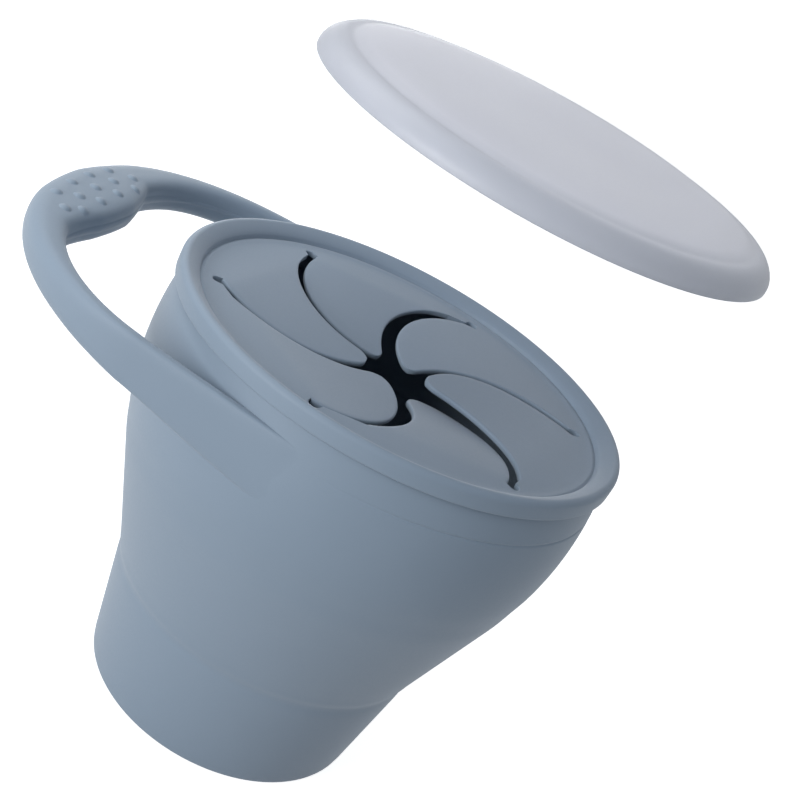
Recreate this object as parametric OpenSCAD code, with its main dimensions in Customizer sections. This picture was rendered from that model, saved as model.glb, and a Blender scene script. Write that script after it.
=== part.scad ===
// Collapsible snack cup for a toddler, with a side loop handle, a lid of six
// swirled petal flaps and a frosted dust cover floating above the rim.
// The cup stands on z = 0, its axis is the Z axis, and the handle points along -X.
// The cup wall is drawn open. Each tier slides down over the one below it.

/* [Cup] */
// Outer radius at the floor
base_r = 29.3; // [28:0.1:30]
// Rise of the base tier's radius for each millimetre of height
base_flare = 0.16; // [0.14:0.01:0.17]
// Height where the base tier meets the cone of the middle tier
waist_z = 25.2; // [24:0.1:26]
// Height where the cone turns into the round belly
belly_start_z = 50; // [48:0.5:52]
// Height of the belly's widest ring
belly_z = 71; // [70:0.5:72]
// Outer radius of the belly's widest ring
belly_r = 45.63; // [45.4:0.01:45.8]
// Radius of the belly's curve, seen from the side
belly_curve_r = 62; // [58:1:68]
// Thickness of the tier walls
wall = 1.8; // [1.6:0.1:2]
// Thickness of the walls in the two folds
fold_wall = 1; // [0.8:0.1:1.2]
// Thickness of the floor
floor_t = 2.2; // [1.8:0.1:3]

/* [Tiers] */
// Top of the base tier
base_top = 23.5; // [23:0.1:24]
// Bottom of the middle tier
middle_bottom = 29.5; // [29:0.1:30]
// Top of the middle tier
middle_top = 52; // [51.5:0.1:52.5]
// Bottom of the upper tier
upper_bottom = 58.5; // [58:0.1:59]
// Shoulder of the upper tier, just under the lid's bead
shoulder_z = 82.3; // [82:0.1:82.3]

/* [Lid] */
// Outer radius of the lid's bead
bead_r = 46; // [45.9:0.1:46.2]
// Radius of the bead's rounded top edge
bead_round = 1.1; // [0.9:0.1:1.3]
// Height of the bead's top above the table
bead_top = 86.1; // [86:0.1:86.3]
// Underside of the bead
bead_bottom = 82.4; // [82.4:0.1:82.7]
// Radius of the crease where the bead's inner slope meets the panel
crease_r = 41.8; // [41.6:0.1:42]
// Height of that crease
crease_z = 84.45; // [84.3:0.05:84.6]
// Height of the petal panel's upper face
panel_z = 83.5; // [83.3:0.1:83.7]
// Thickness of the petal panel
panel_t = 1.1; // [0.9:0.1:1.2]
// Distance of the slit-end holes from the axis
hole_ring_r = 37.8; // [37.5:0.1:38.2]
// Radius of the slit-end holes
hole_r = 1.5; // [1.2:0.1:1.6]
// Direction of the first slit-end hole
first_hole_deg = 24; // [0:1:59]
// Radius of each curved slit
slit_r = 21.5; // [21.3:0.05:21.7]
// Width of each slit
slit_w = 2.3; // [1.8:0.1:2.4]
// Radius of the petals' rounded tips
tip_r = 3.6; // [3:0.1:4]

/* [Handle] */
// Distance of the grip's middle line from the cup's axis
grip_x = 69.9; // [68:0.1:72]
// Radius of the loop's gently curved front, seen from above
front_r = 80; // [70:1:90]
// Half of the angle that the front curve spans
front_deg = 10; // [9:0.5:11]
// Radius of the loop's two corners, seen from above
corner_r = 36.3; // [35.8:0.1:36.6]
// Angle that each corner turns through
corner_deg = 78; // [77:0.5:79]
// Distance of the arms' ends from the plane through the cup's axis
root_x = 3; // [2:0.5:5]
// Height of a raised dot on the grip
dot_h = 0.7; // [0.5:0.1:0.9]

/* [Dust cover] */
// Outer radius of the cover's skirt
cover_r = 47.2; // [47.1:0.1:47.6]
// Height of the skirt's lower edge as the cover floats
cover_z = 127; // [120:1:130]
// Sideways place of the floating cover, along X
cover_x = 2.8; // [0:0.1:4]
// Sideways place of the floating cover, along Y
cover_y = 14.3; // [0:0.1:16]
// Height of the cover from its lower edge to its flat top
cover_h = 6.1; // [5.8:0.1:6.5]
// Thickness of the cover
cover_t = 0.9; // [0.8:0.1:0.9]

/* [Hidden] */

silicone = "#8292a2";
frosted = [0.78, 0.8, 0.84, 0.8];
$fn = 96;

// Gap that keeps a moving part off its neighbour
gap = 0.3;
// Radius of the base tier's lower edge
foot_round = 0.8;
// Tier walls thin down to this at the lips that neighbours slide past
lip_wall = 1.4;
// Height of the thinned lips
lip_h = 4;

// The wall's outside: base cone, middle cone, then a round belly
belly_start_r = belly_r - pow(belly_z - belly_start_z, 2) / (2 * belly_curve_r);
waist_r = base_r + base_flare * waist_z;
function outer_r(z) =
    z < waist_z ? base_r + base_flare * z :
    z < belly_start_z ?
        waist_r + (belly_start_r - waist_r) * (z - waist_z) / (belly_start_z - waist_z) :
    belly_r - pow(belly_z - z, 2) / (2 * belly_curve_r);

// Straight steps that draw the upper tier's belly
belly_steps = 14;

// Heights from z0 to z1 in n equal steps
function steps(z0, z1, n) = [for (i = [0:n]) z0 + (z1 - z0) * i / n];

// Half outline of a tier between two heights, with its lower lip thinned from inside
function tier_outline(z0, z1, lower_wall, upper_wall) = concat(
    [for (z = steps(z0, z1, 12)) [outer_r(z), z]],
    [for (z = steps(z1, z0 + lip_h, 8)) [outer_r(z) - upper_wall, z]],
    [[outer_r(z0) - lower_wall, z0]]
);

// A fold's thin web between two tiers
function web_outline(z0, z1) = concat(
    [for (z = steps(z0, z1, 6)) [outer_r(z), z]],
    [for (z = steps(z1, z0, 6)) [outer_r(z) - fold_wall, z]]
);

// Rim of the upper tier that stands up in the lid's channel
rim_in = 43.3;
rim_out = outer_r(shoulder_z);
rim_top = 83.9;
channel_top = rim_top + gap;
plug_in = 41.4;
plug_bottom = 78;
// Rounding of the bead's lower edge
bead_under_round = 0.35;
// Where the flat panel starts to climb to the crease
climb_r = 39.6;

// Slit circles: each passes through its hole and close by the middle of the lid
slit_centre = [20.03, -12.19];
petal_deg = 60;
hinge_apothem = hole_ring_r * cos(petal_deg / 2);
hinge_z = panel_z - panel_t / 2;
// Ring edge set back from the hinge line, so that a petal's root can turn
hinge_setback = panel_t / 2 + gap;
// Angle by which each petal hangs below the panel
petal_droop = [6.9, 7.1, 5.2, 6.9, 9.8, 5.6];

function turn(p, a) = [p[0] * cos(a) - p[1] * sin(a), p[0] * sin(a) + p[1] * cos(a)];
function unit(v) = v / norm(v);

// Middle of a petal's round tip, outside its first slit circle and inside its second
tip_a = slit_centre;
tip_b = turn(slit_centre, petal_deg);
tip_span = norm(tip_b - tip_a);
edge_a = slit_r + slit_w / 2;
edge_b = slit_r - slit_w / 2;
tip_along = (pow(edge_a + tip_r, 2) - pow(edge_b - tip_r, 2) + pow(tip_span, 2)) / (2 * tip_span);
tip_off = sqrt(pow(edge_a + tip_r, 2) - pow(tip_along, 2));
tip_centre = tip_a + tip_along * unit(tip_b - tip_a) + tip_off * turn(unit(tip_b - tip_a), 90);

// Loop handle: stations along its middle line, from the far arm's end to the near one's
corner_x = grip_x - front_r + (front_r - corner_r) * cos(front_deg);
corner_y = (front_r - corner_r) * sin(front_deg);
corner_end_deg = front_deg + corner_deg;
corner_end = [corner_x + corner_r * cos(corner_end_deg), corner_y + corner_r * sin(corner_end_deg)];
// Middle of the arm's end, which nearly lies in the cup's own wall
root_y = 44.4;

// Each station is [distance from the axis, sideways, direction of the outward normal]
front_steps = 5;
corner_steps = 13;
arm_steps = 7;
half_front = [for (i = [0:front_steps])
    let (a = front_deg * i / front_steps)
    [grip_x - front_r * (1 - cos(a)), front_r * sin(a), a]];
half_corner = [for (i = [1:corner_steps])
    let (a = front_deg + corner_deg * i / corner_steps)
    [corner_x + corner_r * cos(a), corner_y + corner_r * sin(a), a]];
half_arm = [for (i = [1:arm_steps])
    let (u = i / arm_steps)
    [corner_end[0] + (root_x - corner_end[0]) * u,
     corner_end[1] + (root_y - corner_end[1]) * u,
     corner_end_deg + 4 * u]];
half_loop = concat(half_front, half_corner, half_arm);
half_count = len(half_loop);
loop_stations = concat(
    [for (i = [half_count - 1:-1:1])
        let (s = half_loop[i]) [s[0], -s[1], -s[2]]],
    half_loop
);

// Inner bulge of the grip, where the thumb lies
bulge_w = 4;
bulge_y = -6;
bulge_half_length = 18;
// The near end of the bulge, where y is smaller, runs out more slowly
bulge_long_half = 19.5;
function bulge(y) =
    let (half = y > bulge_y ? bulge_half_length : bulge_long_half)
    bulge_w * max(0, 1 - pow((y - bulge_y) / half, 2));
// Half width and half height of the handle's section, by the direction of its normal
function half_width(a) = 1.55 + 4.1 * pow(1 - min(abs(a), 90) / 90, 1.5);
function ease(u) = let (v = min(1, max(0, u))) v * v * (3 - 2 * v);
// The section's lower half grows further towards the cup than its upper half
root_more = 1.15;
more_from = 42;
more_to = 14;
function half_height(s, t) =
    let (a = abs(s[2]),
         more = sin(t) < 0 ? root_more * ease((more_from - s[0]) / (more_from - more_to)) : 0)
    s[0] < corner_end[0] ?
        4.4 + more + 1.65 * pow((corner_end[0] - s[0]) / (corner_end[0] - root_x), 1.5) :
    3.7 + more + (a < 40 ? 0.45 : 0.5) * pow((a - 40) / 40, 2);
// The loop climbs a little from the cup to the grip
function loop_z(x) = 72.54 + 0.077 * x;

// Points round one section, a superellipse. It is squarer inside along the grip,
// where the thumb lies, and outside along the arms, which lie flat on the cup
section_points = 20;
section_power = 0.8;
grip_power = 0.5;
arm_power = 0.5;
grip_deg = 12;
grip_end_deg = 40;
arm_start_deg = 60;
arm_deg = 88;
function power(a, t) =
    cos(t) < 0 ?
        grip_power + (section_power - grip_power) * ease((abs(a) - grip_deg) / (grip_end_deg - grip_deg)) :
    section_power - (section_power - arm_power) * ease((abs(a) - arm_start_deg) / (arm_deg - arm_start_deg));
function soft(v, power) = sign(v) * pow(abs(v), power);
function section(s) =
    let (out = [-cos(s[2]), sin(s[2])],
         w_out = half_width(s[2]),
         w_in = w_out + bulge(s[1]))
    [for (j = [0:section_points - 1])
        let (t = 360 * j / section_points,
             e = power(s[2], t),
             side = soft(cos(t), e) * (cos(t) > 0 ? w_out : w_in))
        [-s[0] + out[0] * side, s[1] + out[1] * side, loop_z(s[0]) + half_height(s, t) * soft(sin(t), e)]];

module loop_sweep() {
    rings = [for (s = loop_stations) section(s)];
    n = section_points;
    m = len(rings);
    points = [for (ring = rings) for (p = ring) p];
    sides = [for (i = [0:m - 2]) for (j = [0:n - 1])
        let (a = i * n + j, b = i * n + (j + 1) % n)
        for (f = [[a, a + n, b], [b, a + n, b + n]]) f];
    ends = [[for (j = [0:n - 1]) j], [for (j = [n - 1:-1:0]) (m - 1) * n + j]];
    polyhedron(points, concat(sides, ends));
}

// Solid inside of the cup's outer surface, which the handle's arms lie against
module cup_outside(z0, z1) {
    rotate_extrude()
        polygon(concat([[0, z0]], [for (z = steps(z0, z1, belly_steps)) [outer_r(z), z]], [[0, z1]]));
}

module base_tier() {
    color(silicone) rotate_extrude() difference() {
        polygon(concat(
            [[0, 0], [base_r - foot_round, 0]],
            [for (a = [15:15:75])
                [base_r - foot_round * (1 - sin(a)), foot_round * (1 - cos(a))]],
            [for (z = steps(foot_round, base_top, 6)) [outer_r(z), z]],
            [[0, base_top]]
        ));
        polygon([
            [0, floor_t],
            [outer_r(floor_t) - wall, floor_t],
            [outer_r(base_top) - wall, base_top],
            [0, base_top]
        ]);
    }
}

module lower_fold() {
    color(silicone) rotate_extrude()
        polygon(web_outline(base_top + gap, middle_bottom));
}

module middle_tier() {
    color(silicone) rotate_extrude()
        polygon(tier_outline(middle_bottom, middle_top, lip_wall, wall));
}

module upper_fold() {
    color(silicone) rotate_extrude()
        polygon(web_outline(middle_top + gap, upper_bottom));
}

module upper_tier() {
    color(silicone) rotate_extrude() {
        polygon(concat(
            [for (z = steps(upper_bottom, shoulder_z, belly_steps)) [outer_r(z), z]],
            [[rim_in, shoulder_z], [rim_in, plug_bottom]],
            [for (z = steps(plug_bottom - 2, upper_bottom + lip_h, 8))
                [min(rim_in, outer_r(z) - wall), z]],
            [[outer_r(upper_bottom) - lip_wall, upper_bottom]]
        ));
        translate([rim_in, shoulder_z])
            square([rim_out - rim_in, rim_top - shoulder_z]);
    }
}

module handle_loop() {
    color(silicone) difference() {
        loop_sweep();
        cup_outside(upper_bottom, shoulder_z);
    }
}

// Rows of raised dots across the grip: inward place, count, drop with the rounded edge
dot_rows = [[-1.2, 4, 0], [2.4, 5, 0], [5.6, 4, 0.25]];
dot_pitch = 7.3;
dots_y = -6;
dot_r = 1.35;
module grip_dots() {
    color(silicone) difference() {
        for (row = dot_rows)
            for (i = [0:row[1] - 1]) {
                y = dots_y + (i - (row[1] - 1) / 2) * dot_pitch;
                middle = grip_x - pow(y, 2) / (2 * front_r);
                top = loop_z(middle) + half_height([middle, y, 0], 90);
                translate([row[0] - middle, y, top - row[2] - dot_r + dot_h])
                    sphere(r = dot_r, $fn = 20);
            }
        loop_sweep();
    }
}

// Half outline of the lid: bead, channel for the cup's rim, and plug inside the rim
module lid_outline() {
    difference() {
        union() {
            hull() {
                translate([bead_r - bead_round, bead_top - bead_round])
                    circle(r = bead_round, $fn = 32);
                translate([bead_r - bead_under_round, bead_bottom + bead_under_round])
                    circle(r = bead_under_round, $fn = 32);
                polygon([[crease_r, crease_z], [plug_in, panel_z - panel_t], [crease_r, bead_bottom]]);
            }
            polygon([
                [plug_in, plug_bottom],
                [rim_in - gap, plug_bottom],
                [rim_in - gap, panel_z],
                [plug_in, panel_z]
            ]);
            polygon([
                [hinge_apothem - 1, panel_z - panel_t],
                [plug_in + 1, panel_z - panel_t],
                [crease_r, crease_z],
                [climb_r, panel_z],
                [hinge_apothem - 1, panel_z]
            ]);
        }
        translate([rim_in - gap, plug_bottom - 1])
            square([rim_out - rim_in + 2 * gap, channel_top - plug_bottom + 1]);
    }
}

module lid_ring() {
    color(silicone) difference() {
        rotate_extrude() lid_outline();
        rotate([0, 0, first_hole_deg])
            translate([0, 0, panel_z - panel_t - 1]) {
                cylinder(r = (hinge_apothem + hinge_setback) / cos(petal_deg / 2), h = panel_t + 2, $fn = 6);
                for (k = [0:5])
                    rotate([0, 0, k * petal_deg])
                        translate([hole_ring_r, 0, 0])
                            cylinder(r = hole_r, h = panel_t + 2, $fn = 32);
            }
    }
}

// Plan of one petal whose first slit-end hole lies on the X axis
module petal_plan() {
    first = [hole_ring_r, 0];
    second = turn(first, petal_deg);
    third = turn(first, 2 * petal_deg);
    touch_a = tip_centre + tip_r * unit(tip_a - tip_centre);
    touch_b = tip_centre - tip_r * unit(tip_b - tip_centre);
    beyond = -tip_centre * 2;
    difference() {
        union() {
            difference() {
                polygon([[0, 0], first, second]);
                translate(tip_a) circle(r = edge_a);
            }
            intersection() {
                polygon([[0, 0], second, third]);
                translate(tip_b) circle(r = edge_b);
            }
        }
        polygon([touch_a, touch_b, touch_b + beyond, touch_a + beyond]);
        translate(first) circle(r = hole_r, $fn = 32);
        translate(second) circle(r = hole_r, $fn = 32);
    }
    translate(tip_centre) circle(r = tip_r, $fn = 48);
}

// Petals turn about the straight line between their two slit-end holes,
// along which each has a rounded root
root_from = 7.3;
root_to = hole_ring_r - hole_r - 0.1;
module petal_flap(k) {
    color(silicone)
        rotate([0, 0, first_hole_deg + k * petal_deg])
            translate([hole_ring_r, 0, hinge_z])
                rotate([0, 0, 90 + petal_deg / 2])
                    rotate([-petal_droop[k], 0, 0]) {
                        translate([0, 0, -panel_t / 2])
                            linear_extrude(panel_t)
                                rotate(-90 - petal_deg / 2)
                                    translate([-hole_ring_r, 0])
                                        petal_plan();
                        translate([root_from, 0, 0])
                            rotate([0, 90, 0])
                                cylinder(r = panel_t / 2, h = root_to - root_from, $fn = 32);
                    }
}

module petal_flap_1() { petal_flap(0); }
module petal_flap_2() { petal_flap(1); }
module petal_flap_3() { petal_flap(2); }
module petal_flap_4() { petal_flap(3); }
module petal_flap_5() { petal_flap(4); }
module petal_flap_6() { petal_flap(5); }

// Flat top, sloping shoulder and short skirt of the dust cover
flat_r = 38.5;
module dust_cover() {
    color(frosted) translate([cover_x, cover_y, cover_z]) rotate_extrude()
        polygon([
            [0, cover_h - cover_t],
            [flat_r - 0.2, cover_h - cover_t],
            [cover_r - 5.5, 3.95],
            [cover_r - 3.2, 3],
            [cover_r - 1.6, 1.9],
            [cover_r - cover_t, 1],
            [cover_r - cover_t, 0],
            [cover_r, 0],
            [cover_r, 1.2],
            [cover_r - 0.8, 2.5],
            [cover_r - 2.6, 3.8],
            [cover_r - 5.2, 4.9],
            [flat_r, cover_h],
            [0, cover_h]
        ]);
}

base_tier();
lower_fold();
middle_tier();
upper_fold();
upper_tier();
handle_loop();
grip_dots();
lid_ring();
petal_flap_1();
petal_flap_2();
petal_flap_3();
petal_flap_4();
petal_flap_5();
petal_flap_6();
dust_cover();
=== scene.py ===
"""Toddler's collapsible snack cup: silicone cup with a loop handle, petal lid and frosted dust cover."""

import math

import bmesh
import bpy
import numpy as np
from mathutils import Matrix, Vector
from mathutils.bvhtree import BVHTree


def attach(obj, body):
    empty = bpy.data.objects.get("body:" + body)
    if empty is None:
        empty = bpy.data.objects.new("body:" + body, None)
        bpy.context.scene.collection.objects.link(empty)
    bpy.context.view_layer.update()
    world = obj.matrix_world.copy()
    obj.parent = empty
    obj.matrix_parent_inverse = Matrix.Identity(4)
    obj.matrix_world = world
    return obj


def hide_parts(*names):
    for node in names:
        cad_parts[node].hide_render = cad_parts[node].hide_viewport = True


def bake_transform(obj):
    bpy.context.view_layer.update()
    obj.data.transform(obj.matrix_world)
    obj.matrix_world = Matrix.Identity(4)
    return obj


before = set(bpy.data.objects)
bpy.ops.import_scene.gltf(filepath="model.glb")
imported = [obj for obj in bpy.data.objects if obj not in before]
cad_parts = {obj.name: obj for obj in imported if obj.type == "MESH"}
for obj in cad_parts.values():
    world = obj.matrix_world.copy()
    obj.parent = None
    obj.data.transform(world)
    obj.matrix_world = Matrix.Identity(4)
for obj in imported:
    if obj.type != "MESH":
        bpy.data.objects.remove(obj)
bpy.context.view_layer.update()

# Cup wall. The cup is one soft silicone moulding. Its wall is a short cone, a wider cone
# and a round belly, with a thinner fold between each two, so that it pushes
# flat. A soft crease shows where the upper fold lies.

# sizes are in mm, and the cup stands on z = 0
MM = 0.001
WALL_STEPS = 192
# the lower and the upper half of the wall meet at this height, between the folds
WALL_SEAM = 40.0

# a flare is the growth of the radius for each mm of height
BASE_R = 29.3
BASE_FLARE = 0.16
WAIST_Z = 25.2
CONE_FLARE = 0.3525
CONE_TOP = 50.0
# the belly curves with a radius of 62 mm, which is half of BELLY_ROUND
BELLY_R = 45.63
BELLY_Z = 71.0
BELLY_ROUND = 124.0
CREASE_Z = 54.6
# rounds off the corner between the two cones, by about 0.07 mm
CORNER_BLEND = 0.02

# the wall is thinnest at a fold, and a little thin where the next tier starts
WALL_T = 1.8
FOLD_T = 1.0
STEP_T = 1.4
LOWER_FOLD = (23.0, 24.0, 29.2, 29.8, 33.5, 35.0)
UPPER_FOLD = (51.5, 52.5, 58.2, 58.8, 62.5, 64.0)

FOOT_R = 29.35
FOOT_ROUND = 0.8
FLOOR_T = 2.2
FLOOR_R = 28.0
FLOOR_ROUND = 2.0
RIM_OUT = 44.58
RIM_IN = 43.3
RIM_TOP = 83.88
RIM_ROUND = 0.35
COLLAR_LINE_Z = 76.2
COLLAR_LINE_DEPTH = 0.2


def hollow(z, middle, reach, depth):
    """Depth at a height of a soft hollow that runs round the wall."""
    return depth * np.exp(-(((z - middle) / reach) ** 2))


def outside(z):
    """Outer radius of the cup at a height."""
    base = BASE_R + BASE_FLARE * z
    cone = BASE_R + BASE_FLARE * WAIST_Z + CONE_FLARE * (z - WAIST_Z)
    belly = BELLY_R - (BELLY_Z - z) ** 2 / BELLY_ROUND
    # the two cones run into each other without a sharp corner
    lower = 0.5 * (base + cone + np.sqrt((base - cone) ** 2 + CORNER_BLEND))
    radius = np.where(z < CONE_TOP, lower, belly)
    waist = hollow(z, WAIST_Z - 1.0, 1.4, 0.14) - hollow(z, WAIST_Z + 1.0, 1.1, 0.08)
    return radius - waist - hollow(z, CREASE_Z, 2.6, 0.12)


def inside(z):
    """Inner radius of the cup at a height."""
    heights = [0, *LOWER_FOLD, *UPPER_FOLD, 80]
    thick = [WALL_T, *2 * [WALL_T, FOLD_T, FOLD_T, STEP_T, STEP_T, WALL_T], WALL_T]
    return np.minimum(outside(z) - np.interp(z, heights, thick), RIM_IN)


def smooth(u):
    """Eased step from 0 to 1."""
    u = min(max(u, 0.0), 1.0)
    return u * u * (3 - 2 * u)


def build(name, points, faces, sharp=38.0):
    """Mesh object from points in mm, smooth except at edges sharper than the angle."""
    mesh = bpy.data.meshes.new(name)
    mesh.from_pydata([tuple(p) for p in np.asarray(points, float) * MM], [], faces)
    work = bmesh.new()
    work.from_mesh(mesh)
    bmesh.ops.remove_doubles(work, verts=work.verts, dist=0.002 * MM)
    bmesh.ops.recalc_face_normals(work, faces=work.faces)
    work.to_mesh(mesh)
    work.free()
    mesh.polygons.foreach_set("use_smooth", [True] * len(mesh.polygons))
    mesh.set_sharp_from_angle(angle=math.radians(sharp))
    made = bpy.data.objects.new(name, mesh)
    bpy.context.collection.objects.link(made)
    return made


def grid_faces(rows, columns, closed=False):
    """Quads between neighbouring rings of points. Closed joins the last ring to the first."""
    faces = []
    for i in range(rows if closed else rows - 1):
        for j in range(columns):
            a, b = i * columns, (i + 1) % rows * columns
            k = (j + 1) % columns
            faces.append((a + j, a + k, b + k, b + j))
    return faces


def turned(name, outline, closed=False):
    """Turns an outline of (radius, height) points about the Z axis."""
    outline = np.asarray(outline, float)
    turn = np.linspace(0, 2 * math.pi, WALL_STEPS, endpoint=False)
    points = np.empty((len(outline), WALL_STEPS, 3))
    points[..., 0] = outline[:, :1] * np.cos(turn)
    points[..., 1] = outline[:, :1] * np.sin(turn)
    points[..., 2] = outline[:, 1:]
    return build(name, points.reshape(-1, 3), grid_faces(len(outline), WALL_STEPS, closed))


def arc(centre, radius, start, end, count=7):
    """Arc of an outline, from one angle to another in degrees."""
    angle = np.radians(np.linspace(start, end, count))
    return [(centre[0] + radius * math.cos(a), centre[1] + radius * math.sin(a)) for a in angle]


def wall(heights, radius):
    """Outline points along the wall."""
    return [(float(radius(np.float64(z))), float(z)) for z in heights]


# the points lie closer together where the wall has a hollow or a line
lower_heights = np.concatenate([np.arange(1.8, 23, 0.5), np.arange(23, 27, 0.12), np.arange(27, 40.1, 0.5)])
cup_lower = turned(
    "cup_lower",
    [(0, 0), (20, 0), (28, 0)]
    + arc((FOOT_R - FOOT_ROUND, FOOT_ROUND), FOOT_ROUND, -88, -6)
    + wall(lower_heights, outside)
    + wall(np.arange(WALL_SEAM, 4.5, -0.5), inside)
    + arc((FLOOR_R - FLOOR_ROUND, FLOOR_T + FLOOR_ROUND), FLOOR_ROUND, 0, -90)
    + [(15, FLOOR_T), (0, FLOOR_T)],
)
upper_heights = np.concatenate(
    [
        [WALL_SEAM],
        np.arange(40.4, 75.2, 0.4),
        np.arange(75.4, 77.0, 0.08),
        np.arange(77.2, 82.5, 0.4),
    ]
)
cup_upper = turned(
    "cup_upper",
    wall(upper_heights, outside)
    + [(RIM_OUT, 83.3)]
    + arc((RIM_OUT - RIM_ROUND, RIM_TOP - RIM_ROUND), RIM_ROUND, 0, 90, 4)
    + arc((RIM_IN + RIM_ROUND, RIM_TOP - RIM_ROUND), RIM_ROUND, 90, 180, 4)
    + [(RIM_IN, 78.5)]
    + wall(np.arange(78.0, WALL_SEAM, -0.5), inside)
    + wall([WALL_SEAM], inside),
)
# a fine line runs round the collar on the side away from the handle
for v in cup_upper.data.vertices:
    x, y, z = v.co / MM
    reach = math.hypot(x, y)
    if abs(z - COLLAR_LINE_Z) < 1.2 and reach > RIM_OUT:
        away = smooth(x / reach / 0.6)
        depth = away * hollow(z, COLLAR_LINE_Z, 0.22, COLLAR_LINE_DEPTH)
        v.co.x *= 1 - depth / reach
        v.co.y *= 1 - depth / reach


def linear(code):
    """Linear colour from an sRGB hex value."""
    parts = [int(code[i : i + 2], 16) / 255 for i in (1, 3, 5)]
    return tuple(p / 12.92 if p <= 0.04045 else ((p + 0.055) / 1.055) ** 2.4 for p in parts)


def add(owner, kind, **settings):
    """Adds a shader node. A setting is a socket's value or link, or else a property."""
    made = owner.node_tree.nodes.new("ShaderNode" + kind)
    for name, value in settings.items():
        socket = made.inputs.get(name.replace("_", " "))
        if socket is None:
            setattr(made, name, value)
        elif isinstance(value, bpy.types.NodeSocket):
            owner.node_tree.links.new(value, socket)
        elif isinstance(value, str):
            socket.default_value = (*linear(value), 1)
        else:
            socket.default_value = value
    return made


def new_material(name):
    """Empty material, with its output node."""
    material = bpy.data.materials.new(name)
    material.use_nodes = True
    material.node_tree.nodes.clear()
    return material, material.node_tree.nodes.new("ShaderNodeOutputMaterial")


# Food-grade silicone moulded against a fine blasted steel surface: matte, a little
# powdery at glancing angles, and slightly uneven in tone where the pigment swirled.
PIGMENT_CLOUD = 25.0
BLASTED_GRAIN = 0.5
silicone, end = new_material("blasted_silicone")
place = add(silicone, "TexCoord").outputs["Object"]
clouds = add(silicone, "TexNoise", Vector=place, Scale=1 / (PIGMENT_CLOUD * MM), Detail=3.0, Roughness=0.5)
grain = add(silicone, "TexNoise", Vector=place, Scale=1 / (BLASTED_GRAIN * MM), Detail=2.0, Roughness=0.6)
tone = add(silicone, "MixRGB", Fac=clouds.outputs["Fac"], Color1="#8292a2", Color2="#8897a7")
matte = add(
    silicone, "MapRange", Value=grain.outputs["Fac"], From_Min=0.3, From_Max=0.7, To_Min=0.5, To_Max=0.6
)
skin = add(silicone, "Bump", Height=grain.outputs["Fac"], Strength=0.12, Distance=0.02 * MM)
surface = add(
    silicone,
    "BsdfPrincipled",
    Base_Color=tone.outputs["Color"],
    Roughness=matte.outputs["Result"],
    IOR=1.41,
    Sheen_Weight=0.2,
    Sheen_Roughness=0.5,
    Normal=skin.outputs["Normal"],
)
silicone.node_tree.links.new(surface.outputs["BSDF"], end.inputs["Surface"])

for piece in (cup_lower, cup_upper):
    piece.data.materials.append(silicone)
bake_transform(cup_lower)
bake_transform(cup_upper)
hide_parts("base_tier", "lower_fold", "middle_tier")
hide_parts("upper_fold", "upper_tier")

# Loop handle. It is moulded in one with the cup. Its arms leave the wall just under the
# rim, thicken into a grip at the front, and the mould's parting line runs round
# the inside. The grip bulges inward for the thumb.

# the middle line of half the loop in plan: a flat front arc, a corner arc and a straight arm
GRIP_X = 69.9
FRONT_R = 80.0
FRONT_TURN = 10.0
CORNER_R = 36.3
CORNER_TURN = 88.0
CORNER_X = GRIP_X - FRONT_R + (FRONT_R - CORNER_R) * math.cos(math.radians(FRONT_TURN))
CORNER_Y = (FRONT_R - CORNER_R) * math.sin(math.radians(FRONT_TURN))
ARM_END_X = -1.0
# an arm spreads by this much from the corner to its end
ARM_SPREAD = 0.15
# the thumb's bulge lies a little to one side of the grip's middle
GRIP_Y = -6.0
BULGE = 4.0
ARM_HALF_W = 1.55
GRIP_HALF_W = 5.65
GRIP_HALF_H = 3.7
ARM_HALF_H = 4.4
# an arm begins at the first of these distances from the axis, and grows taller up to the second
ARM_START_X = 33.2
ROOT_X = 3.0
ROOT_MORE = 1.65
# the underside grows from this distance from the axis, over this length
UNDERSIDE_START_X = 42
UNDERSIDE_LENGTH = 28
UNDERSIDE_MORE = 1.15
# height of the loop's middle line at the cup, and its climb for each mm outward
MIDDLE_Z = 72.54
CLIMB = 0.077
# the parting line is this proud in mm; its place and half width are degrees round the section
PARTING_PROUD = 0.16
PARTING_AT = 180.0
PARTING_HALF_W = 2.6
# an arm ends in the middle of the wall, and melts into the wall's face over this length
HALF_WALL = WALL_T / 2
MELT = 6.0
# what runs into another face ends this far under it
SUNK = 0.04


def loop_line():
    """Stations of the loop: distance from the axis, sideways, direction of its normal."""
    front = [
        (GRIP_X - FRONT_R * (1 - math.cos(math.radians(a))), FRONT_R * math.sin(math.radians(a)), a)
        for a in np.linspace(0, FRONT_TURN, 14)
    ]
    corner = [
        (CORNER_X + CORNER_R * math.cos(math.radians(a)), CORNER_Y + CORNER_R * math.sin(math.radians(a)), a)
        for a in np.linspace(FRONT_TURN, CORNER_TURN, 46)[1:]
    ]
    x0, y0, _ = corner[-1]
    arm = [
        (x0 + (ARM_END_X - x0) * u, y0 + ARM_SPREAD * u, CORNER_TURN + (90 - CORNER_TURN) * u)
        for u in np.linspace(0, 1, 36)[1:]
    ]
    half = front + corner + arm
    return [(x, -y, -a) for x, y, a in half[:0:-1]] + half


def bulge(y):
    """How far the grip swells towards the cup."""
    length = 18.0 if y > GRIP_Y else 19.5
    return BULGE * max(0.0, 1 - ((y - GRIP_Y) / length) ** 2)


def half_width(a):
    """Half the section's width, which shrinks from the grip to the arms."""
    return ARM_HALF_W + (GRIP_HALF_W - ARM_HALF_W) * (1 - min(abs(a), 90) / 90) ** 1.5


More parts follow.
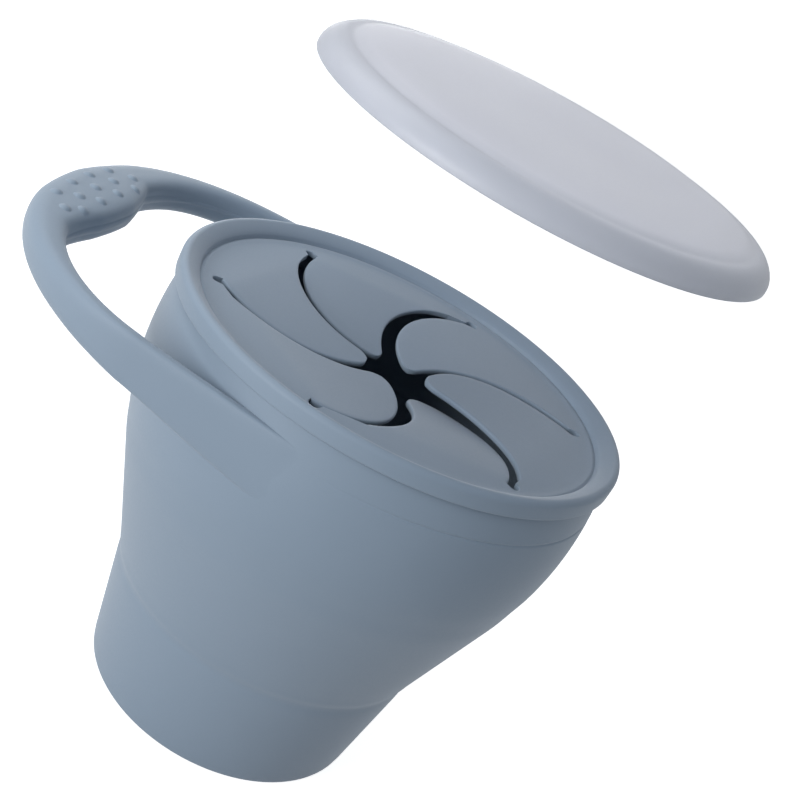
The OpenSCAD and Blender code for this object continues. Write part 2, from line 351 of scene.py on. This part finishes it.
def half_height(x, a, t):
    """Half the section's height, which grows towards the cup, mostly downwards."""
    more = 0.0
    if math.sin(t) < 0:
        more = UNDERSIDE_MORE * smooth((UNDERSIDE_START_X - x) / UNDERSIDE_LENGTH)
    if x < ARM_START_X:
        inward = (ARM_START_X - max(x, ROOT_X)) / (ARM_START_X - ROOT_X)
        return ARM_HALF_H + more + ROOT_MORE * inward**1.5
    return GRIP_HALF_H + more + (0.45 if abs(a) < 40 else 0.5) * ((abs(a) - 40) / 40) ** 2


def squareness(a, t):
    """Power of the section's rounded outline, less where a face of it is flat."""
    if math.cos(t) < 0:
        # inside the grip, where the thumb lies
        return (0.5 if math.sin(t) > 0 else 0.6) + 0.2 * smooth((abs(a) - 12) / 28)
    if math.cos(t) > 0:
        # on the outside of the arms, which lie flat against the cup
        return 0.8 - 0.35 * smooth((abs(a) - 60) / 28)
    return 0.8


def loop_height(x):
    """The loop climbs a little from the cup to the grip."""
    return MIDDLE_Z + CLIMB * max(x, 0.0)


beside_parting = PARTING_AT + np.array([-8, -5, -3.4, -2.6, -1.8, 0, 1.8, 2.6, 3.4, 5, 8])
round_trip = np.radians(
    np.concatenate([np.arange(0, PARTING_AT - 10, 5), beside_parting, np.arange(PARTING_AT + 11, 360, 5)])
)
loop_points = []
loop_stations = loop_line()
for x, y, a in loop_stations:
    out = (-math.cos(math.radians(a)), math.sin(math.radians(a)))
    for t in round_trip:
        power = squareness(a, t)
        side = math.copysign(abs(math.cos(t)) ** power, math.cos(t))
        side *= half_width(a) + (bulge(y) if side < 0 else 0.0)
        # the parting line stands up as a fine flat band
        side -= PARTING_PROUD * math.exp(-(((math.degrees(t) - PARTING_AT) / PARTING_HALF_W) ** 6))
        up = math.copysign(abs(math.sin(t)) ** power, math.sin(t)) * half_height(x, a, t)
        up += loop_height(x)
        px, py = -x + out[0] * side, y + out[1] * side
        face = float(outside(np.float64(up)))
        reach = max(math.hypot(px, py), face - HALF_WALL)
        if reach > face:
            melt = smooth((x - ARM_END_X) / MELT)
            reach = face + (reach - face) * melt - SUNK * (1 - melt)
        shift = reach / math.hypot(px, py)
        loop_points.append((px * shift, py * shift, up))
count = len(round_trip)
loop_faces = grid_faces(len(loop_stations), count)
loop_faces += [tuple(range(count)), tuple((len(loop_stations) - 1) * count + j for j in range(count))]
handle = build("loop_with_grip", loop_points, loop_faces, sharp=60.0)
handle.data.materials.append(silicone)
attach(handle, "upper")
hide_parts("handle_loop")

# Grip dots. Thirteen low dots stand on the grip in three staggered rows, so that wet small
# fingers don't slip. They are part of the same moulding and run into it softly.

# how far each row lies inward of the grip's middle line, and its number of dots
DOT_ROWS = [(-1.2, 4), (2.4, 5), (5.7, 4)]
DOT_PITCH = 7.3
DOT_HEIGHT = 0.55
DOT_STEPS = 20
# rings of a dot: radius in mm, and share of its height
DOT_RINGS = [(0.0, 1.0), (0.3, 0.96), (0.55, 0.86), (0.8, 0.66), (1.0, 0.4), (1.15, 0.18), (1.35, 0.0)]

grip_skin = BVHTree.FromPolygons([Vector(p) for p in loop_points], loop_faces)


def grip_top(x, y):
    """Height of the grip's upper face at a distance from the axis and sideways place."""
    hit = grip_skin.ray_cast(Vector((-x, y, 120)), Vector((0, 0, -1)))[0]
    return hit.z if hit else 0.0


dot_points, dot_faces = [], []
for inward, number in DOT_ROWS:
    for i in range(number):
        y = GRIP_Y + (i - (number - 1) / 2) * DOT_PITCH
        x = GRIP_X - y * y / (2 * FRONT_R) - inward
        # a dot by the thumb's edge stands back from it
        while grip_top(x - 1.2, y) < grip_top(x, y) - 0.6:
            x += 0.1
        foot = len(dot_points)
        for radius, height in DOT_RINGS:
            for j in range(DOT_STEPS):
                turn = 2 * math.pi * j / DOT_STEPS
                px, py = x + radius * math.cos(turn), y + radius * math.sin(turn)
                dot_points.append((-px, py, grip_top(px, py) - SUNK + DOT_HEIGHT * height))
        rings = grid_faces(len(DOT_RINGS), DOT_STEPS)
        dot_faces += [tuple(foot + v for v in face) for face in rings]
dots = build("raised_dots", dot_points, dot_faces, sharp=80.0)
dots.data.materials.append(silicone)
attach(dots, "upper")
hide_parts("grip_dots")

# Lid ring. The lid is a second silicone moulding. Its round bead hooks over the cup's rim,
# a plug inside the rim keeps it there, and a thin panel lies low inside the bead.
# Each slit in the panel ends in a small round hole that keeps it from tearing.

PANEL_Z = 83.5
PANEL_T = 1.1
PANEL_UNDER = PANEL_Z - PANEL_T
FLAT_R = 39.6
BEAD_R = 46.0
BEAD_TOP = 86.1
BEAD_ROUND = 1.1
BEAD_BOTTOM = 82.4
UNDER_ROUND = 0.35
CHANNEL_TOP = 84.15
PLUG_BOTTOM = 78.0
PLUG_IN = 41.4
# the holes at the slits' ends lie on a ring, and the panel reaches inward to the
# straight lines between them
HOLE_RING = 37.8
HOLE_R = 1.2
FIRST_HOLE = 24.0
PITCH = 60
APOTHEM = HOLE_RING * math.cos(math.radians(PITCH / 2))


def panel_edge(angle):
    """Inner edge of the fixed panel at an angle from a hole, and how much it is rounded."""
    off = (angle + PITCH / 2) % PITCH - PITCH / 2
    a = math.radians(off)
    chord = APOTHEM / math.cos(math.radians(angle % PITCH - PITCH / 2))
    reach = HOLE_RING * math.sin(a)
    if abs(off) < 10 and abs(reach) < HOLE_R:
        hole = HOLE_RING * math.cos(a) + math.sqrt(HOLE_R**2 - reach**2)
        if hole > chord:
            return hole, min(1.0, (hole - chord) / 0.6)
    return chord, 0.0


# angles from one hole to the next, closer together beside the holes
sector = np.concatenate([np.linspace(0, 2.19, 12), np.arange(3.2, 56.9, 1.28), np.linspace(57.81, 59.8, 11)])
# a low swell and a crease run round the panel, and the bead's inner slope rises from the crease
inner_slope = [(FLAT_R, PANEL_Z), (40.3, 83.6), (40.9, 83.74), (41.2, 83.74), (41.4, 83.62), (41.6, 83.62)]
inner_slope += [(41.8, 83.85), (41.86, 84.28), (42.05, 84.56), (42.5, 84.93), (43.1, 85.33), (43.75, 85.69)]
outer_face = arc((BEAD_R - BEAD_ROUND, BEAD_TOP - BEAD_ROUND), BEAD_ROUND, 116, 0, 13)
outer_face += [(BEAD_R, 84.5), (45.99, 83.8), (45.96, 83.2)]
outer_face += arc((45.6, BEAD_BOTTOM + UNDER_ROUND), UNDER_ROUND, 0, -88, 7)
# the channel under the bead takes the cup's rim, and the plug reaches down inside the rim
channel = [(45.0, BEAD_BOTTOM), (44.9, 82.5), (44.9, CHANNEL_TOP), (43.05, CHANNEL_TOP)]
plug = [(43.0, 78.2), (42.8, PLUG_BOTTOM), (41.6, PLUG_BOTTOM), (PLUG_IN, 78.2), (PLUG_IN, 81.9)]
plug += [(41.1, 82.3), (40.4, PANEL_UNDER), (FLAT_R, PANEL_UNDER)]
bead = inner_slope + outer_face + channel + plug
ring_points = []
for start in range(0, 360, PITCH):
    for angle in start + sector:
        edge, soft = panel_edge(angle)
        turn = math.radians(FIRST_HOLE + angle)
        r = 0.3 * soft
        flat = edge + r
        outline = [(edge, PANEL_UNDER), (edge, PANEL_Z - r), (edge + 0.3 * r, PANEL_Z - 0.3 * r)]
        outline += [(flat + (FLAT_R - flat) * u, PANEL_Z) for u in (0, 0.35, 0.7)] + bead
        ring_points += [(p[0] * math.cos(turn), p[0] * math.sin(turn), p[1]) for p in outline]
columns = len(outline)
ring_faces = grid_faces(len(ring_points) // columns, columns, closed=True)
lid = build("lid_bead_and_panel", ring_points, ring_faces)
lid.data.materials.append(silicone)
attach(lid, "lid")
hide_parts("lid_ring")

# Petal flaps. Six curved slits cut the panel into petals that swirl one way. A petal is joined
# to the panel along the line between two slit-end holes, and bends there. Hands
# have pushed the soft petals about, so each hangs a little differently.

# Droop at the root, further curl and twist in degrees; then for each of the two long edges its
# radius, its turn in radians and how far it misses the hole's middle; last the tip's radius.
# A least-squares fit to points picked along the slits in the picture gave these numbers.
PETALS = [
    (0.0, 8.4, -0.1, 25.11, 0.162, 0.05, 22.60, 0.096, 0.35, 2.1),
    (9.0, 0.2, -2.3, 21.94, -0.041, 0.86, 18.0, -0.066, 1.35, 2.6),
    (7.0, -5.3, 2.3, 22.05, -0.071, 0.05, 22.41, 0.095, 0.84, 3.2),
    (6.3, -4.0, 0.5, 22.06, -0.067, 0.64, 18.0, -0.068, 0.05, 3.4),
    (2.8, 10.6, 1.7, 19.0, -0.166, 1.40, 22.85, 0.089, 1.01, 6.0),
    (5.3, -10.0, -2.3, 20.95, 0.116, 1.00, 20.57, 0.135, 1.40, 2.9),
]
# direction in plan from a hole to the middle of its slit's circle, in radians
SLIT_TURN = math.atan2(-12.19, 20.03 - HOLE_RING)
# directions in plan for the first petal, before it is turned to its place
INWARD = np.array([-math.cos(math.radians(30)), -0.5])
ALONG = np.array([-0.5, math.cos(math.radians(30))])
# length of the bend at the root, and about how far a petal reaches inward
ROOT_BEND = 3.5
PETAL_REACH = 27.0
# about half a petal's width at the root
PETAL_HALF_W = 17.0
# the bend turns a little further than the droop of the whole petal
BEND_MORE = 1.06
BEND_STEPS = 24
EDGE_ROUND = 0.4
ACROSS = 26
LENGTHWISE = 44


def turned_by(point, degrees):
    """A point of the plan turned about the lid's middle."""
    c, s = math.cos(math.radians(degrees)), math.sin(math.radians(degrees))
    return np.array([point[0] * c - point[1] * s, point[0] * s + point[1] * c])


def slit_arc(centre, radius, start, end, leftward, count):
    """Points of a circle from the direction of one point to that of another."""
    a = math.atan2(*(start - centre)[::-1])
    b = math.atan2(*(end - centre)[::-1])
    if leftward and b < a:
        b += 2 * math.pi
    if not leftward and b > a:
        b -= 2 * math.pi
    t = np.linspace(a, b, count)
    return centre + radius * np.stack([np.cos(t), np.sin(t)], 1)


def petal_edges(sizes):
    """Both long edges of a petal in plan, each from its root to the middle of the tip."""
    r1, turn1, off1, r2, turn2, off2, tip = sizes
    hole = np.array([HOLE_RING, 0.0])
    way1, way2 = SLIT_TURN + turn1, SLIT_TURN + turn2
    a = hole + (r1 - off1) * np.array([math.cos(way1), math.sin(way1)])
    b = turned_by(hole + (r2 + off2) * np.array([math.cos(way2), math.sin(way2)]), PITCH)
    span = np.linalg.norm(b - a)
    u = (b - a) / span
    # the tip's circle touches the first edge from outside and the second from inside
    along = ((r1 + tip) ** 2 - (r2 - tip) ** 2 + span**2) / (2 * span)
    off = math.sqrt(max((r1 + tip) ** 2 - along**2, 0))
    c = a + along * u + off * np.array([-u[1], u[0]])
    touch1 = a + (c - a) / np.linalg.norm(c - a) * r1
    touch2 = b + (c - b) / np.linalg.norm(c - b) * r2
    round_tip = slit_arc(c, tip, touch1, touch2, False, 25)
    first = slit_arc(a, r1, hole, touch1, True, 80)
    second = slit_arc(b, r2, turned_by(hole, PITCH), touch2, True, 80)
    return np.vstack([first, round_tip[1:13]]), np.vstack([second, round_tip[:11:-1]])


def trimmed(edge, corner, way):
    """Starts an edge at the petal's root, clear of the slit-end hole."""
    depth = (edge - corner) @ INWARD
    keep = (depth > 0.02) & (np.linalg.norm(edge - corner, axis=1) > HOLE_R)
    first = int(np.argmax(keep))
    start = (edge[first] - corner) @ ALONG * way
    start = max(HOLE_R, start if depth[first] < 0.35 else HOLE_R)
    return np.vstack([corner + ALONG * way * start, edge[first:]])


def evenly(line, shares):
    """Points at the given shares of a line's length."""
    run = np.concatenate([[0], np.cumsum(np.linalg.norm(np.diff(line, axis=0), axis=1))])
    return np.stack([np.interp(shares * run[-1], run, line[:, i]) for i in (0, 1)], 1)


def hang(points, droop, curl, twist, k):
    """Bends a flat petal down from its root. Points are in plan, with the height over the panel."""
    depth = np.maximum(APOTHEM + points[:, :2] @ INWARD, 0)
    beyond = APOTHEM + points[:, :2] @ INWARD - depth
    sideways = points[:, :2] @ ALONG
    full = np.radians(droop * BEND_MORE + twist * sideways / PETAL_HALF_W)

    def lean(x):
        """Downward slope at a distance from the root."""
        ease = np.clip(x / ROOT_BEND, 0, 1)
        return full * ease * ease * (3 - 2 * ease) + np.radians(curl) * x / PETAL_REACH

    length, drop = np.zeros(len(points)), np.zeros(len(points))
    for i in range(BEND_STEPS):
        angle = lean(depth * (i + 0.5) / BEND_STEPS)
        length += np.cos(angle) * depth / BEND_STEPS
        drop += np.sin(angle) * depth / BEND_STEPS
    angle = lean(depth)
    inward = length + beyond - APOTHEM + points[:, 2] * np.sin(angle)
    plan = inward[:, None] * INWARD + sideways[:, None] * ALONG
    height = PANEL_Z - drop + points[:, 2] * np.cos(angle)
    return np.column_stack([*turned_by(plan.T, FIRST_HOLE + PITCH * k), height])


for k, (droop, curl, twist, *sizes) in enumerate(PETALS):
    first, second = petal_edges(sizes)
    hole = np.array([HOLE_RING, 0.0])
    first = trimmed(first, hole, 1)
    second = trimmed(second, turned_by(hole, PITCH), -1)
    shares = 1 - (1 - np.linspace(0, 1, LENGTHWISE)) ** 1.25
    left, right = evenly(first, shares), evenly(second, shares)
    rows = []
    for i in range(LENGTHWISE - 1):
        width = np.linalg.norm(right[i] - left[i])
        fillet = min(EDGE_ROUND, 0.3 * width)
        ease = [fillet * (1 - math.cos(math.radians(a))) for a in (0, 30, 60, 90)]
        lift = [fillet * (1 - math.sin(math.radians(a))) for a in (0, 30, 60, 90)]
        across = ease + list(np.linspace(fillet, width - fillet, ACROSS)[1:-1])
        across += [width - e for e in ease[::-1]]
        fall = lift + [0] * (ACROSS - 2) + lift[::-1]
        u = (right[i] - left[i]) / max(width, 1e-6)
        top = [(*(left[i] + u * s), -f) for s, f in zip(across, fall)]
        # the edges are rounded a little more underneath
        under = [(*(left[i] + u * s), 1.2 * f - PANEL_T) for s, f in zip(across[::-1], fall)]
        rows.append(top + under)
    tip = [(*left[-1], -0.5)] * len(rows[0])
    points = np.array([p for row in rows + [tip] for p in row])
    faces = grid_faces(LENGTHWISE, len(rows[0]))
    petal = build(f"swirl_petal_{k + 1}", hang(points, droop, curl, twist, k), faces, sharp=50.0)
    petal.data.materials.append(silicone)
    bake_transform(petal)
    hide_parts(f"petal_flap_{k + 1}")

# Dust cover. A thin plastic disc with a short rounded skirt snaps over the lid's bead. It is
# stiffer than the silicone, milky, and moulded with a fine frosted face. It floats
# above the cup, a little off its axis.

# the middle of the skirt's lower edge
COVER_AT = (2.8, 14.3, 127.0)
# the rounded border climbs from the skirt to a narrow flat ring, and then to the flat top
skirt = [(47.2, 0), (47.2, 0.6)]
shoulder = [(47.1, 1.2), (46.85, 1.8), (46.4, 2.5), (45.8, 3.15), (45.1, 3.7), (44.4, 4.1), (43.8, 4.33)]
flat_ring = [(43.3, 4.45), (42.9, 4.5), (42.5, 4.51), (42.1, 4.54)]
rise = [(41.7, 4.63), (41.2, 4.79), (40.5, 5.0), (39.6, 5.2), (38.2, 5.42)]
flat_top = [(36, 5.68), (32, 5.92), (24, 6.08), (12, 6.1), (0, 6.1)]
# the underside follows 0.9 mm below the flat top, and a little further below the border
under_top = [(0, 5.2), (12, 5.2), (24, 5.18), (32, 5.04), (35.8, 4.82), (38.4, 4.52), (40.3, 4.05)]
under_border = [(42, 3.6), (43.2, 3.4), (44.1, 2.98), (45, 2.45), (45.6, 1.95), (46, 1.4), (46.25, 0.9)]
cover_outline = skirt + shoulder + flat_ring + rise + flat_top + under_top + under_border + [(46.3, 0)]
cover = turned("frosted_cover", cover_outline, closed=True)
cover.location = [v * MM for v in COVER_AT]

# Frosted polypropylene: milky and slightly see-through, with a soft satin shine.
MOULDING_SWIRL = 30.0
FROST_GRAIN = 0.4
frosted, end = new_material("frosted_polypropylene")
place = add(frosted, "TexCoord").outputs["Object"]
swirls = add(frosted, "TexNoise", Vector=place, Scale=1 / (MOULDING_SWIRL * MM), Detail=2.0)
frost = add(frosted, "TexNoise", Vector=place, Scale=1 / (FROST_GRAIN * MM), Detail=2.0)
border = add(frosted, "MixRGB", Fac=swirls.outputs["Fac"], Color1="#c3c7d1", Color2="#cacdd6")
# painted light: the flat top is painted lighter than the border, for the light that comes through it where
# it is thinner than the border
top = add(frosted, "MixRGB", Fac=swirls.outputs["Fac"], Color1="#e0e1ea", Color2="#e7e8ef")
from_middle = add(frosted, "VectorMath", operation="LENGTH", Vector=place).outputs["Value"]
# the painted light over the flat top fades out across the border, from 39.5 to 45 mm out
thick = add(frosted, "MapRange", Value=from_middle, From_Min=39.5 * MM, From_Max=45 * MM)
# the border's milky tone, with painted light over the flat top
milk_and_painted_glow = add(
    frosted,
    "MixRGB",
    Fac=thick.outputs["Result"],
    Color1=top.outputs["Color"],
    Color2=border.outputs["Color"],
)
satin = add(frosted, "MapRange", Value=frost.outputs["Fac"], To_Min=0.38, To_Max=0.5)
haze = add(frosted, "Bump", Height=frost.outputs["Fac"], Strength=0.1, Distance=0.02 * MM)
surface = add(
    frosted,
    "BsdfPrincipled",
    Base_Color=milk_and_painted_glow.outputs["Color"],
    Roughness=satin.outputs["Result"],
    IOR=1.49,
    Transmission_Weight=0.4,
    Normal=haze.outputs["Normal"],
)
frosted.node_tree.links.new(surface.outputs["BSDF"], end.inputs["Surface"])
cover.data.materials.append(frosted)
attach(cover, "cover")
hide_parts("dust_cover")

# Floor and light. A white paper sweep under the cup, a soft lamp low on the handle's side, a
# weaker one above the handle, a faint one behind, and an even pale room. The white
# of the picture is the colour of the sweep and the room.

SWEEP_HALF = 9000.0
PAPER_FIBRE = 2.0
corners = [(-1, -1), (1, -1), (1, 1), (-1, 1)]
floor = build("floor", [(x * SWEEP_HALF, y * SWEEP_HALF, 0) for x, y in corners], [(0, 1, 2, 3)])
# matte white paper: it shows no shine, only the faint unevenness of its fibres
sweep, end = new_material("white_paper_sweep")
place = add(sweep, "TexCoord").outputs["Object"]
fibres = add(sweep, "TexNoise", Vector=place, Scale=1 / (PAPER_FIBRE * MM))
paper = add(sweep, "MixRGB", Fac=fibres.outputs["Fac"], Color1="#c8c8c8", Color2="#cccccc")
surface = add(sweep, "BsdfDiffuse", Color=paper.outputs["Color"])


def in_picture(owner):
    """1 for what the camera sees straight, in a shine or through the frosting, else 0."""
    ray = add(owner, "LightPath")
    shine = add(owner, "Math", operation="MAXIMUM")
    any_way = add(owner, "Math", operation="MAXIMUM")
    owner.node_tree.links.new(ray.outputs["Is Glossy Ray"], shine.inputs[0])
    owner.node_tree.links.new(ray.outputs["Is Transmission Ray"], shine.inputs[1])
    owner.node_tree.links.new(ray.outputs["Is Camera Ray"], any_way.inputs[0])
    owner.node_tree.links.new(shine.outputs["Value"], any_way.inputs[1])
    return any_way.outputs["Value"]


# in the picture the sweep is white, and darker only where the cup shades it
white = add(sweep, "Emission", Color="#ffffff", Strength=0.86)
whitened = add(sweep, "AddShader")
seen = add(sweep, "MixShader", Fac=in_picture(sweep))
sweep.node_tree.links.new(surface.outputs["BSDF"], whitened.inputs[0])
sweep.node_tree.links.new(white.outputs["Emission"], whitened.inputs[1])
sweep.node_tree.links.new(surface.outputs["BSDF"], seen.inputs[1])
sweep.node_tree.links.new(whitened.outputs["Shader"], seen.inputs[2])
sweep.node_tree.links.new(seen.outputs["Shader"], end.inputs["Surface"])
floor.data.materials.append(sweep)

world = bpy.data.worlds.new("pale_room")
bpy.context.scene.world = world
world.use_nodes = True
world.node_tree.nodes.clear()
# the picture shows a white room, and the pale light fills the shadows
white_room = add(world, "Background", Color="#ffffff", Strength=1.0)
soft_light = add(world, "Background", Color="#eaf4ff", Strength=0.38)
room = add(world, "MixShader", Fac=in_picture(world))
end = world.node_tree.nodes.new("ShaderNodeOutputWorld")
world.node_tree.links.new(soft_light.outputs["Background"], room.inputs[1])
world.node_tree.links.new(white_room.outputs["Background"], room.inputs[2])
world.node_tree.links.new(room.outputs["Shader"], end.inputs["Surface"])


def softbox(name, at, aim, size, power):
    """Square lamp facing a point. Places and size are in mm, and the power is in watts."""
    lamp = bpy.data.lights.new(name, "AREA")
    lamp.size = size * MM
    lamp.energy = power
    held = bpy.data.objects.new(name, lamp)
    held.location = Vector(at) * MM
    held.rotation_euler = (Vector(at) - Vector(aim)).to_track_quat("Z", "Y").to_euler()
    bpy.context.collection.objects.link(held)


softbox("front_softbox", at=(-290, -460, 225), aim=(0, 0, 60), size=300, power=1.98)
softbox("high_softbox", at=(-240, 60, 380), aim=(0, 0, 60), size=280, power=0.55)
softbox("rear_softbox", at=(-250, 700, 40), aim=(0, 0, 40), size=300, power=0.8)

# Camera. It looks down on the lid and is rolled, so that the cup leans in the frame. Its place,
# lens and roll are fitted to the outlines in the picture.

FOCAL_LENGTH = 62.94
CAMERA_AT = Vector((34.29, -243.99, 180.84))
CAMERA_AIM = Vector((3.561, -2.150, 76.966))
CAMERA_ROLL = 29.663
lens = bpy.data.cameras.new("camera")
lens.lens = FOCAL_LENGTH
lens.clip_start = 10 * MM
camera = bpy.data.objects.new("camera", lens)
level_view = (CAMERA_AT - CAMERA_AIM).to_track_quat("Z", "Y").to_matrix().to_4x4()
roll = Matrix.Rotation(math.radians(CAMERA_ROLL), 4, "Z")
camera.matrix_world = Matrix.Translation(CAMERA_AT * MM) @ level_view @ roll
bpy.context.collection.objects.link(camera)
bpy.context.scene.camera = camera
bpy.context.scene.view_settings.view_transform = "Standard"
